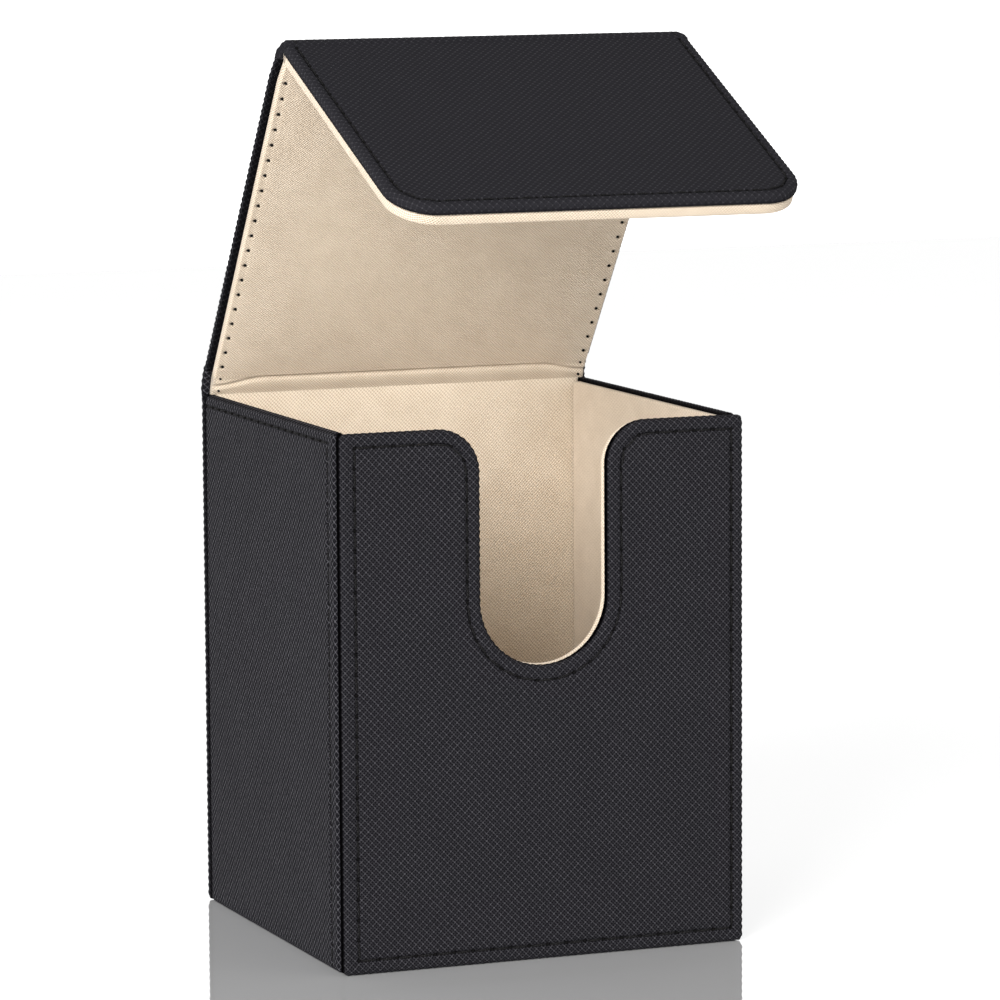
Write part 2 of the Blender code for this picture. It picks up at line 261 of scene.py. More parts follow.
class Outline:
    """Corners are (x, y, radius, share); the edge after one moves in by inset times its share."""

    def __init__(self, corners, spacing=EDGE_SPACING):
        self.points = np.array([corner[:2] for corner in corners], float)
        self.radii = [corner[2] for corner in corners]
        self.shares = [corner[3] if len(corner) > 3 else 1.0 for corner in corners]
        self.spacing = spacing
        self.counts = self.plan()

    def corner(self, index, inset):
        """Start, end, centre and radius of one rounded corner."""
        count = len(self.points)
        before, here, after = (self.points[(index + step) % count] for step in (-1, 0, 1))
        first = (here - before) / np.linalg.norm(here - before)
        second = (after - here) / np.linalg.norm(after - here)
        share_in = self.shares[(index - 1) % count]
        share_out = self.shares[index]
        normal_in = np.array((-first[1], first[0]))
        normal_out = np.array((-second[1], second[0]))
        turn = first[0] * second[1] - first[1] * second[0]
        matrix = np.array((normal_in, normal_out))
        offsets = np.array((share_in, share_out)) * inset
        tip = here + np.linalg.solve(matrix, offsets)
        change = inset * (share_in + share_out) / 2
        side = 1.0 if turn > 0 else -1.0
        radius = max(self.radii[index] - side * change, SHARPEST_RADIUS)
        half = math.atan2(abs(turn), float(first @ second)) / 2
        reach = radius * math.tan(half)
        start = tip - first * reach
        centre = start + normal_in * radius * side
        return start, tip + second * reach, centre, radius, side * 2 * half

    def plan(self):
        """How many steps each corner and each straight takes, the same at every inset."""
        count = len(self.points)
        ends = [self.corner(index, 0.0) for index in range(count)]
        arcs = [max(5, round(abs(end[4]) * end[3] / self.spacing)) for end in ends]
        lines = []
        for index in range(count):
            gap = np.linalg.norm(ends[(index + 1) % count][0] - ends[index][1])
            lines.append(max(1, round(gap / self.spacing)) if gap > self.spacing / 2 else 0)
        return list(zip(arcs, lines))

    def at(self, inset):
        """The closed loop of points at an inset."""
        count = len(self.points)
        ends = [self.corner(index, inset) for index in range(count)]
        loop = []
        for index, (arc_steps, line_steps) in enumerate(self.counts):
            start, end, centre, radius, sweep = ends[index]
            angle = math.atan2(*(start - centre)[::-1])
            for step in range(arc_steps + (1 if line_steps else 0)):
                turn = angle + sweep * step / arc_steps
                loop.append(centre + radius * np.array((math.cos(turn), math.sin(turn))))
            following = ends[(index + 1) % count][0]
            for step in range(1, line_steps):
                loop.append(end + (following - end) * step / line_steps)
        return np.array(loop)


def rectangle(left, right, low, high, low_radius=CORNER_RADIUS, high_radius=CORNER_RADIUS):
    return Outline([
        (left, low, low_radius), (right, low, low_radius),
        (right, high, high_radius), (left, high, high_radius),
    ])


def notched(half_width, low, high, low_share=1.0, notch_share=1.0, left_share=1.0):
    """A rectangle with a round-bottomed, round-shouldered notch in its top."""
    floor = HEIGHT - NOTCH_DEPTH
    notch = NOTCH_HALF_WIDTH
    return Outline([
        (-half_width, low, CORNER_RADIUS, low_share), (half_width, low, CORNER_RADIUS),
        (half_width, high, CORNER_RADIUS), (notch, high, NOTCH_SHOULDER, notch_share),
        (notch, floor, NOTCH_HALF_WIDTH, notch_share),
        (-notch, floor, NOTCH_HALF_WIDTH, notch_share),
        (-notch, high, NOTCH_SHOULDER), (-half_width, high, CORNER_RADIUS, left_share),
    ])


def lid_half_width(along):
    return (WIDTH + (FOLD_WIDTH - WIDTH) * along / LID_REACH) / 2


def lid_shape(trim=0.0):
    """Lid panel, trimmed at its sides; its hinge and fold edges stay flush for the folds."""
    low, high = LID_START, LID_REACH - FOLD_CLEARANCE
    waist = high - FOLD_TAPER_LENGTH
    near, wide = lid_half_width(low) - trim, lid_half_width(waist) - trim
    narrow = FLAP_NEAR_WIDTH / 2 - trim
    radius = SHARPEST_RADIUS
    return Outline([
        (-near, low, radius, FLUSH), (near, low, radius), (wide, waist, FOLD_TAPER_RADIUS),
        (narrow, high, radius, FLUSH), (-narrow, high, radius), (-wide, waist, FOLD_TAPER_RADIUS),
    ])


def flap_shape(trim=0.0, side_trim=0.0):
    """Flap panel, flush at its fold edge and slightly narrower at its free end."""
    near, far = FLAP_NEAR_WIDTH / 2 - side_trim, FLAP_FAR_WIDTH / 2 - side_trim
    low, high = FOLD_CLEARANCE, FLAP_REACH - trim
    radius = FLAP_CORNER_RADIUS - trim
    return Outline([
        (-near, low, SHARPEST_RADIUS, FLUSH), (near, low, SHARPEST_RADIUS),
        (far, high, radius), (-far, high, radius),
    ])


def back_shape(half_width, low):
    """Back panel, flush at its top edge where the lid's fold begins."""
    return Outline([
        (-half_width, low, CORNER_RADIUS), (half_width, low, CORNER_RADIUS),
        (half_width, HEIGHT, SHARPEST_RADIUS, FLUSH), (-half_width, HEIGHT, SHARPEST_RADIUS),
    ])


# Seams: the line they follow and the holes the needle left


def spaced(path, pitch, closed):
    """Points along a path at an even pitch close to the one asked for."""
    path = np.asarray(path, float)
    if closed:
        path = np.vstack([path, path[:1]])
    steps = np.linalg.norm(np.diff(path, axis=0), axis=1)
    travelled = np.concatenate([[0.0], np.cumsum(steps)])
    count = max(1, round(travelled[-1] / pitch))
    places = np.linspace(0.0, travelled[-1], count + 1)
    return np.column_stack([np.interp(places, travelled, path[:, axis]) for axis in (0, 1)])


def sharp_places(line, closed, reach=3):
    """Where a finely spaced line turns sharply, as indices."""
    count = len(line)
    turns = np.zeros(count)
    for index in range(count):
        if not closed and not reach <= index < count - reach:
            continue
        before = line[index] - line[(index - reach) % count]
        after = line[(index + reach) % count] - line[index]
        cosine = before @ after / (np.linalg.norm(before) * np.linalg.norm(after) + 1e-12)
        turns[index] = math.acos(max(-1.0, min(1.0, cosine)))
    places = []
    for index in np.argsort(-turns):
        if turns[index] < SHARP_TURN:
            break
        if all(abs(index - other) > 2 * reach for other in places):
            places.append(int(index))
    return sorted(places)


class Seam:
    """A run of stitches in a panel's plane, with a hole at each sharp corner."""

    def __init__(self, path, pitch, closed=False):
        line = spaced(path, EDGE_SPACING / 2, closed)
        if closed:
            line = line[:-1]
        places = sharp_places(line, closed)
        if closed and places:
            line = np.vstack([np.roll(line, -places[0], axis=0), line[places[0]]])
            places = [place - places[0] for place in places[1:]]
        cuts = [0] + places + [len(line) - 1]
        legs = [spaced(line[a:b + 1], pitch, False) for a, b in zip(cuts, cuts[1:]) if b > a]
        self.line = line
        self.holes = np.vstack([legs[0]] + [leg[1:] for leg in legs[1:]])


def bare_seam(holes, line=None):
    """A seam given by its holes, without a path to lay them on."""
    seam = Seam.__new__(Seam)
    seam.holes, seam.line = np.array(holes), line
    return seam


def mirrored(seam):
    """The same seam in the axes of the panel's other side."""
    return bare_seam(seam.holes * (-1, 1), seam.line * (-1, 1))


def nearest(points, targets):
    """Distance from each point to the closest target."""
    tree = KDTree(len(targets))
    for index, (x, y) in enumerate(targets):
        tree.insert((x, y, 0.0), index)
    tree.balance()
    return np.array([tree.find((x, y, 0.0))[2] for x, y in points])


def seam_relief(points, seams):
    """How far the surface is pulled down beside seams and into needle holes."""
    pull = np.zeros(len(points))
    for seam in seams:
        line = nearest(points, seam.line)
        hole = nearest(points, seam.holes)
        pull -= VALLEY_DEPTH * np.exp(-((line / VALLEY_WIDTH) ** 2))
        pull -= HOLE_DEPTH * np.exp(-((hole / HOLE_WIDTH) ** 2))
    return np.maximum(pull, -DEEPEST_PULL)


def hole_relief(points, seams):
    """Needle holes in the soft lining, with a faint dip along their row."""
    pull = np.zeros(len(points))
    depth, width = SOFT_HOLE_DEPTH, SOFT_HOLE_WIDTH
    for seam in seams:
        pull -= depth * np.exp(-((nearest(points, seam.holes) / width) ** 2))
        pull -= 0.15 * depth * np.exp(-((nearest(points, seam.line) / (1.6 * width)) ** 2))
    return pull


# Surface shapes


def grain(flat):
    """The cross-hatch's bolder ridges, as a height from 0 between them to 1 on them."""
    down = (flat[:, 0] + flat[:, 1]) / GRAIN_PITCH
    up = (flat[:, 0] - flat[:, 1]) / GRAIN_PITCH
    ridges = [0.5 + 0.5 * np.cos(TURN * phase) for phase in (down, up)]
    return np.maximum(ridges[0], 0.9 * ridges[1]) ** 1.5


def teeth(loop, height):
    """Ridges that cross a turned edge like the turns of a rope, 1 on each and 0 between."""
    steps = np.linalg.norm(np.roll(loop, -1, axis=0) - loop, axis=1)
    travelled = np.concatenate([[0.0], np.cumsum(steps)[:-1]])
    count = max(1, round(steps.sum() / GRAIN_PITCH))
    phase = travelled / steps.sum() * count + TOOTH_SLANT * height / SHELL
    return 0.5 + 0.5 * np.cos(TURN * phase)


def swell(flat, seed, size=0.021, height=0.00006):
    """Slow unevenness of glued material over board."""
    chance = np.random.RandomState(seed)
    total = np.zeros(len(flat))
    for _ in range(SWELL_WAVES):
        angle, phase = chance.uniform(0, TURN, 2)
        reach = size * chance.uniform(0.6, 1.6)
        across = flat[:, 0] * math.cos(angle) + flat[:, 1] * math.sin(angle)
        total += np.sin(TURN * across / reach + phase)
    return total * height / SWELL_WAVES


def fade(values, start, end):
    share = np.clip((np.asarray(values) - start) / (end - start), 0.0, 1.0)
    return share * share * (3 - 2 * share)


# A cover's section, as (inset, height): under its edge, round it, over the border, then level
LEATHER_PROFILE = [
    (0.0030, -0.00212), (0.0012, -0.00212), (0.0004, -0.00209), (0.00012, -0.00196),
    (0.00002, -0.00176), (0.0, -0.00150), (0.0, -0.00125), (0.0, -0.00100),
    (0.00006, -0.00072), (0.00020, -0.00046), (0.00042, -0.00024), (0.00070, -0.00008),
    (0.0010, 0.00003), (0.0013, 0.00007), (0.0016, 0.00004), (0.0018, 0.0), (0.0020, 0.0),
    (0.0022, 0.0), (0.0024, 0.0), (0.0026, 0.0), (0.0029, 0.0), (0.0032, 0.0), (0.0036, 0.0),
    (0.0041, 0.0), (0.0046, 0.0), (0.0052, 0.0), (0.0060, 0.0),
]


def lining_profile(thickness):
    """Soft rounded pad from its glued side up to its face."""
    round_off = 0.00042
    profile = [(0.0020, -thickness), (0.0005, -thickness), (0.0001, -thickness * 0.93)]
    profile.append((0.0, -thickness * 0.78))
    for step in range(7):
        angle = math.pi / 2 * step / 6
        inset = round_off * (1 - math.cos(angle))
        profile.append((inset, -round_off * (1 - math.sin(angle))))
    for inset in (0.0011, 0.0013, 0.0015, 0.0017, 0.0019, 0.0021, 0.0024, 0.0028, 0.0034):
        profile.append((inset, 0.0))
    return profile


def profile_normals(profile):
    """Outward directions of a profile, as (inset, height) pairs."""
    steps = np.gradient(np.array(profile), axis=0)
    steps /= np.linalg.norm(steps, axis=1, keepdims=True)
    return np.column_stack([-steps[:, 1], steps[:, 0]])


def developed(profile):
    """The inset each profile point would have if the cover were laid out flat."""
    steps = np.linalg.norm(np.diff(np.array(profile), axis=0), axis=1)
    to_field = np.concatenate([np.cumsum(steps[::-1])[::-1], [0.0]])
    return profile[-1][0] - to_field


def field_points(boundary, spacing):
    """A grid of points well inside a loop."""
    low, high = boundary.min(axis=0), boundary.max(axis=0)
    counts = np.maximum(np.ceil((high - low) / spacing).astype(int), 1)
    rows = np.arange(1, counts[1]) * (high[1] - low[1]) / counts[1] + low[1]
    columns = np.arange(1, counts[0]) * (high[0] - low[0]) / counts[0] + low[0]
    grid = np.array([(x, y) for y in rows for x in columns])
    crossings = np.zeros(len(grid), int)
    after = np.roll(boundary, -1, axis=0)
    for (x0, y0), (x1, y1) in zip(boundary, after):
        spans = (grid[:, 1] < y0) != (grid[:, 1] < y1)
        if spans.any():
            where = x0 + (grid[:, 1] - y0) * (x1 - x0) / ((y1 - y0) or 1e-12)
            crossings += spans & (grid[:, 0] < where)
    inside = grid[crossings % 2 == 1]
    return inside[nearest(inside, boundary) > spacing * 0.45]


def filled_field(boundary, spacing):
    """Points and triangles that fill a loop; the loop's own points come first."""
    inner = field_points(boundary, spacing)
    points = [Vector(point) for point in np.vstack([boundary, inner])]
    ring = list(range(len(boundary)))
    filled = delaunay_2d_cdt(points, [], [ring], 1, 1e-9)
    flat = np.array([tuple(point) for point in filled[0]])
    renumber = {}
    for index, sources in enumerate(filled[3]):
        for source in sources:
            renumber[source] = index
    order = [renumber[index] for index in ring]
    return flat, [tuple(face) for face in filled[2]], order


def make_mesh(name, points, faces, uvs, material):
    """A smooth piece; a third number per point says how deep it lies, from 0 to 1, for painted
    shade.
    """
    mesh = bpy.data.meshes.new(name)
    mesh.from_pydata([tuple(point) for point in points], [], faces)
    layer = mesh.uv_layers.new(name="developed")
    corners = np.zeros(len(mesh.loops), int)
    mesh.loops.foreach_get("vertex_index", corners)
    uvs = np.asarray(uvs, float)
    layer.data.foreach_set("uv", uvs[corners, :2].ravel())
    # The third number goes to the turned layer, which the materials paint as shade.
    turned = np.zeros((len(uvs), 2))
    if uvs.shape[1] > 2:
        turned[:, 0] = uvs[:, 2]
    layer = mesh.uv_layers.new(name="turned")
    layer.data.foreach_set("uv", turned[corners].ravel())
    mesh.shade_smooth()
    mesh.set_sharp_from_angle(angle=SMOOTH_ANGLE)
    mesh.materials.append(material)
    item = bpy.data.objects.new(name, mesh)
    bpy.context.collection.objects.link(item)
    return item


def cover_panel(name, panel, outline, profile, relief, material, seed, painted_rim_shade, calm=None):
    """A panel's skin: turned edge, border, seam valley and gently uneven field.

    The painted rim shade says how dark its turned edge is painted; soft linings have none and no
    grain.
    """
    grained = painted_rim_shade > 0.0
    normals = profile_normals(profile)
    flat_insets = developed(profile)
    points, uvs, faces = [], [], []
    outer_loop = outline.at(0.0)
    count = len(outer_loop)
    under = []
    for (inset, height), normal, flat_inset in zip(profile, normals, flat_insets):
        flat_uv = outline.at(flat_inset)
        change = np.zeros(count)
        if grained:
            strength = 1.0 - fade(flat_inset, *GRAIN_FADE)
            on_edge = 1.0 - fade(inset, *ROPE_FADE)
            hatch = GRAIN_RELIEF * (1.0 - grain(flat_uv))
            rope = TOOTH_RELIEF * (1.0 - teeth(outer_loop, height))
            change -= strength * (hatch * (1.0 - on_edge) + rope * on_edge)
            change *= fade(normal[1], *UNDERSIDE_FADE)
        base = outline.at(inset)
        if calm is not None:
            change *= fade(calm(base), *CALM_FADE)
        outward = (base - outline.at(inset + 0.0001)) / 0.0001
        pulled = relief(base) * fade(normal[1], *FACE_FADE)
        change += pulled
        change += swell(base, seed) * fade(inset, *SWELL_FADE)
        flat = base - outward * (normal[0] * change)[:, None]
        points.append(placed(panel, flat, height + normal[1] * change))
        uvs.append(flat_uv)
        # Painted shade: a turned edge darkens the deeper it lies under the panel, most where it
        # meets the next wall at a corner.
        rim = PLAIN_RIM_PAINTED_SHADE + (painted_rim_shade - PLAIN_RIM_PAINTED_SHADE) * np.abs(outward[:, 0])
        rim = rim * max(0.0, -height / SHELL) * grained
        # Seam valleys get painted shade too, by how deep they are pulled.
        under.append(np.clip(rim - pulled / DEEPEST_PULL, 0, 1))
    for row in range(len(profile) - 1):
        for step in range(count):
            after = (step + 1) % count
            first, second = row * count, (row + 1) * count
            faces.append((first + step, first + after, second + after, second + step))
    boundary = outline.at(profile[-1][0])
    field, triangles, order = filled_field(boundary, FIELD_SPACING)
    pulled = relief(field)
    height = profile[-1][1] + pulled + swell(field, seed)
    start = len(profile) * count
    last = (len(profile) - 1) * count
    ring = {index: last + step for step, index in enumerate(order)}
    points.append(placed(panel, field, height))
    uvs.append(field)
    # Painted shade in the field's seam valleys and needle holes, by how deep they are pulled.
    under.append(np.clip(-pulled / DEEPEST_PULL, 0, 1))
    for face in triangles:
        faces.append(tuple(ring.get(index, start + index) for index in face))
    uvs = np.column_stack([np.vstack(uvs), np.concatenate(under)])
    return make_mesh(name, *without_loose(np.vstack(points), faces, uvs), material)


def without_loose(points, faces, uvs):
    """Drops points that no face uses."""
    used = sorted({index for face in faces for index in face})
    place = {index: step for step, index in enumerate(used)}
    faces = [tuple(place[index] for index in face) for face in faces]
    return points[used], faces, uvs[used]


# Stitches


def stitch_run(panel, seam, height, sink, radius, sides=8, rings=9, deep=0.0):
    """One bead of thread between each pair of holes, dipping into them, slightly slanted."""
    points, faces, uvs = [], [], []
    origin, across, along, out = (np.array(part) for part in panel)
    for start, end in zip(seam.holes, seam.holes[1:]):
        step = end - start
        length = np.linalg.norm(step)
        ahead = step / length
        side = np.array((-ahead[1], ahead[0]))
        first = len(points)
        for ring in range(rings):
            share = ring / (rings - 1)
            arch = math.sin(math.pi * share) ** 0.55
            slant = (share - 0.5) * STITCH_SLANT
            reach = STITCH_MARGIN + (1 - 2 * STITCH_MARGIN) * share
            middle = start + step * reach + side * slant
            lift = height - sink + sink * arch
            thick = radius * (0.45 + 0.55 * arch)
            for turn in range(sides):
                angle = TURN * turn / sides
                flat = middle + side * thick * math.cos(angle)
                level = lift + 0.8 * thick * math.sin(angle)
                points.append(origin + across * flat[0] + along * flat[1] + out * level)
                # The third number marks deep thread, which gets painted shade.
                uvs.append((share * length, angle / TURN * 0.002, deep))
        for ring in range(rings - 1):
            for turn in range(sides):
                after = (turn + 1) % sides
                low, high = first + ring * sides, first + (ring + 1) * sides
                faces.append((low + turn, high + turn, high + after, low + after))
        faces.append(tuple(first + turn for turn in range(sides)))
        last = first + (rings - 1) * sides
        faces.append(tuple(last + turn for turn in reversed(range(sides))))
    return points, faces, uvs


def needle_thread(panel, seam, depth, radius=NEEDLE_RADIUS, length=NEEDLE_LENGTH):
    """The short bits of thread that show down in the lining's needle holes."""
    points, faces, uvs = [], [], []
    ahead = np.gradient(seam.holes, axis=0)
    ahead /= np.linalg.norm(ahead, axis=1, keepdims=True)
    for hole, direction in zip(seam.holes, ahead):
        short = bare_seam([hole - direction * length / 2, hole + direction * length / 2])
        # Bits down in the holes are marked deep, for painted shade.
        more = stitch_run(panel, short, depth, NEEDLE_SINK, radius, rings=5, deep=1.0)
        start = len(points)
        points += more[0]
        uvs += more[2]
        faces += [tuple(start + index for index in face) for face in more[1]]
    return points, faces, uvs


def joined(runs):
    points, faces, uvs = [], [], []
    for more_points, more_faces, more_uvs in runs:
        start = len(points)
        points += list(more_points)
        uvs += list(more_uvs)
        faces += [tuple(start + index for index in face) for face in more_faces]
    return points, faces, uvs


# Soft folds


def curve_point(start, start_way, end, end_way, share):
    """A point on the curve that leaves its start and arrives at its end in given ways."""
    gain = share * share * (3 - 2 * share)
    point = start * (1 - gain) + end * gain + start_way * (share * (1 - share) ** 2)
    return point - end_way * (share ** 2 * (1 - share))


def resampled(path, count):
    """A smooth path through points, with evenly spread samples."""
    path = np.array([tuple(point) for point in path], float)
    steps = np.linalg.norm(np.diff(path, axis=0), axis=1)
    travelled = np.concatenate([[0.0], np.cumsum(steps)])
    places = np.linspace(0, travelled[-1], count)
    slopes = np.gradient(path, travelled, axis=0)
    result = []
    for place in places:
        index = min(np.searchsorted(travelled, place, side="right") - 1, len(path) - 2)
        span = travelled[index + 1] - travelled[index]
        share = (place - travelled[index]) / span
        ways = slopes[index] * span, slopes[index + 1] * span
        result.append(curve_point(path[index], ways[0], path[index + 1], ways[1], share))
    return np.array(result)


def fold_strip(name, outer, inner, half_width, material, grained, seed, pinch=0.0, towards=None,
               widening=0.0):
    """A band between an outer and an inner path; pinch narrows it at its crest.

    Widening is how much each half gains from the start of the paths to their end.
    Towards gives the inner path for a share of the way out to either end of the band.
    """
    samples, segments = FOLD_SAMPLES, FOLD_SEGMENTS
    outer = resampled(outer, samples)
    inner = resampled(inner, samples)
    middle, half = (outer + inner) / 2, (outer - inner) / 2
    ends = [(0.0, 0.45), (0.00003, 0.68), (0.00015, 0.85), (0.0004, 0.96), (0.0008, 1.0)]
    stations = [(-half_width + inset, size) for inset, size in ends]
    clear = half_width - ends[-1][0]
    for step in range(1, segments):
        stations.append((-clear + 2 * clear * step / segments, 1.0))
    stations += [(half_width - inset, size) for inset, size in reversed(ends)]
    lengths = np.linalg.norm(np.diff(middle, axis=0), axis=1)
    travelled = np.concatenate([[0.0], np.cumsum(lengths)])
    from_ends = 1 - np.abs(2 * travelled / travelled[-1] - 1)
    waist = 1 - pinch / half_width * fade(from_ends, 0.0, 1.0)
    waist = waist + widening / half_width * (travelled / travelled[-1] - 0.5)
    points, uvs = [], []
    for across, size in stations:
        change = np.zeros(inner.shape)
        if towards is not None:
            nearness = float(fade(abs(across) / half_width, CREASE_BEND_START, 1.0))
            change = resampled(towards(nearness), samples) - inner
        for sign, order in ((1, range(samples)), (-1, reversed(range(samples)))):
            for index in order:
                place = middle[index] + sign * half[index] * size
                if sign < 0:
                    place = place + change[index]
                flat = np.array([[across, travelled[index]]])
                if grained:
                    pull = GRAIN_RELIEF * (1 - grain(flat)[0]) / np.linalg.norm(half[index])
                    place = place - sign * half[index] * size * pull * 0.5
                else:
                    place = place + sign * half[index] * size * swell(flat, seed, 0.012, 0.12)[0]
                reach = across * waist[index]
                if grained and size < 1.0:
                    phase = travelled[index] / GRAIN_PITCH + TOOTH_SLANT * sign * size
                    pull = 0.5 - 0.5 * math.cos(TURN * phase)
                    reach -= math.copysign(TOOTH_RELIEF * pull, across)
                points.append((reach, place[1], place[2]))
                # Painted shade on the inner side of the band's rounded ends.
                deep = 0.4 if size < 1.0 and sign < 0 else 0.0
                uvs.append((across, travelled[index] + (0.02 if sign < 0 else 0.0), deep))
    ring = 2 * samples
    faces = []
    for row in range(len(stations) - 1):
        for index in range(ring):
            after = (index + 1) % ring
            low, high = row * ring, (row + 1) * ring
            faces.append((low + index, low + after, high + after, high + index))
    last = (len(stations) - 1) * ring
    for index in range(samples - 1):
        other = ring - 1 - index
        faces.append((index + 1, index, other, other - 1))
        faces.append((last + index, last + index + 1, last + other - 1, last + other))
    return make_mesh(name, points, faces, uvs, material)


def hinge_point(along, height):
    return HINGE + LID_ALONG * along + LID_OUT * height


def flap_point(along, height):
    return FOLD + FLAP_ALONG * along + FLAP_OUT * height


def bend(start, start_way, end, end_way, count=15):
    """A smooth curve that leaves and arrives in given directions."""
    start, end = Vector(start), Vector(end)
    reach = (end - start).length
    ways = Vector(start_way) * reach, Vector(end_way) * reach
    shares = (step / (count - 1) for step in range(count))
    return [curve_point(start, ways[0], end, ways[1], share) for share in shares]


UPWARD = Vector((0, 0, 1))
LID_SHELL_BACK = AXIS_TO_FACE - SHELL
LID_PAD_BACK = LID_SHELL_BACK - GLUE_GAP
LID_PAD_FACE = LID_PAD_BACK - LID_LINING


def lid_fold_path(depth, lid_height):
    """From the top of the back wall, at a depth behind its face, onto the lid at a height."""
    start = (0, DEPTH / 2 - depth, HEIGHT)
    return bend(start, UPWARD, hinge_point(LID_START, lid_height), LID_ALONG)


def lid_fold_face(crease_share=CREASE_SHARE):
    """The lining side of the lid's fold: a soft bulge, then a crease below the lid."""
    inward = Vector((0, -0.894, -0.447))
    path = lid_fold_path(SHELL + GLUE_GAP + WALL_LINING, LID_PAD_FACE)
    shaped = []
    for step, point in enumerate(path):
        share = step / (len(path) - 1)
        bulge = LID_FOLD_BULGE * math.sin(math.pi * min(share / BULGE_END_SHARE, 1.0))
        crease = CREASE_DEPTH * math.exp(-(((share - crease_share) / CREASE_WIDTH_SHARE) ** 2))
        shaped.append(point + inward * (bulge - crease))
    return shaped


def lid_crease_towards(nearness):
    """The lining's path where the crease runs down towards an end of the fold."""
    return lid_fold_face(CREASE_SHARE + (END_CREASE_SHARE - CREASE_SHARE) * nearness)


def flap_fold_path(height):
    """Round the flap's fold, at a height over the fold's axis on both sides."""
    half_bend = (LID_RISE + FLAP_FALL) / 2
    depth = FOLD_ROUND - AXIS_TO_FACE
    centre = FOLD - (LID_OUT + FLAP_OUT).normalized() * depth / math.cos(half_bend)
    radius = FOLD_ROUND - AXIS_TO_FACE + height
    first = math.atan2(LID_OUT.z, LID_OUT.y)
    points = [hinge_point(LID_REACH - FOLD_CLEARANCE, height)]
    for step in range(FOLD_ARC_STEPS + 1):
        angle = first + 2 * half_bend * step / FOLD_ARC_STEPS
        points.append(centre + Vector((0, math.cos(angle), math.sin(angle))) * radius)
    return points + [flap_point(FOLD_CLEARANCE, height)]


def flap_fold_face():
    """The lining side of the flap's fold, two soft shoulders with a crease between."""
    middle = (LID_OUT + FLAP_OUT).normalized()
    near = LID_REACH - FOLD_CLEARANCE
    return [
        hinge_point(near, LID_PAD_FACE), hinge_point(near + FOLD_SHOULDER, LID_PAD_FACE),
        FOLD - middle * FOLD_CREASE_DEPTH,
        flap_point(FOLD_CLEARANCE - FOLD_SHOULDER, LID_PAD_FACE),
        flap_point(FOLD_CLEARANCE, LID_PAD_FACE),
    ]


def fold_stitches(path, offsets, height):
    """Stitches that carry a seam over a fold, following its path at offsets from the middle."""
    path = resampled(path, FOLD_STITCHES + 1)
    runs = []
    for offset in offsets:
        for start, end in zip(path, path[1:]):
            along = Vector(end - start)
            panel = axes((0, start[1], start[2]), (-1, 0, 0), along.normalized())
            short = bare_seam([(offset, 0.0), (offset, along.length)])
            runs.append(stitch_run(panel, short, height, THREAD_SINK, STITCH_RADIUS))
    return runs


def fold_bits(path, offsets, shares, height):
    """The bits of thread in a fold's needle holes, at shares of the way along its path."""
    samples = 40
    path = resampled(path, samples + 1)
    runs = []
    for share in shares:
        start = path[int(share * samples)]
        along = Vector(path[int(share * samples) + 1] - start).normalized()
        panel = turned_over(axes((0, start[1], start[2]), (-1, 0, 0), along), 0.0)
        for offset in offsets:
            reach = NEEDLE_LENGTH / 2
            short = bare_seam([(offset, -reach), (offset, reach)])
            # Bits down in the holes are marked deep, for painted shade.
            runs.append(stitch_run(panel, short, height, NEEDLE_SINK, NEEDLE_RADIUS,
                                   rings=5, deep=1.0))
    return runs


# Materials


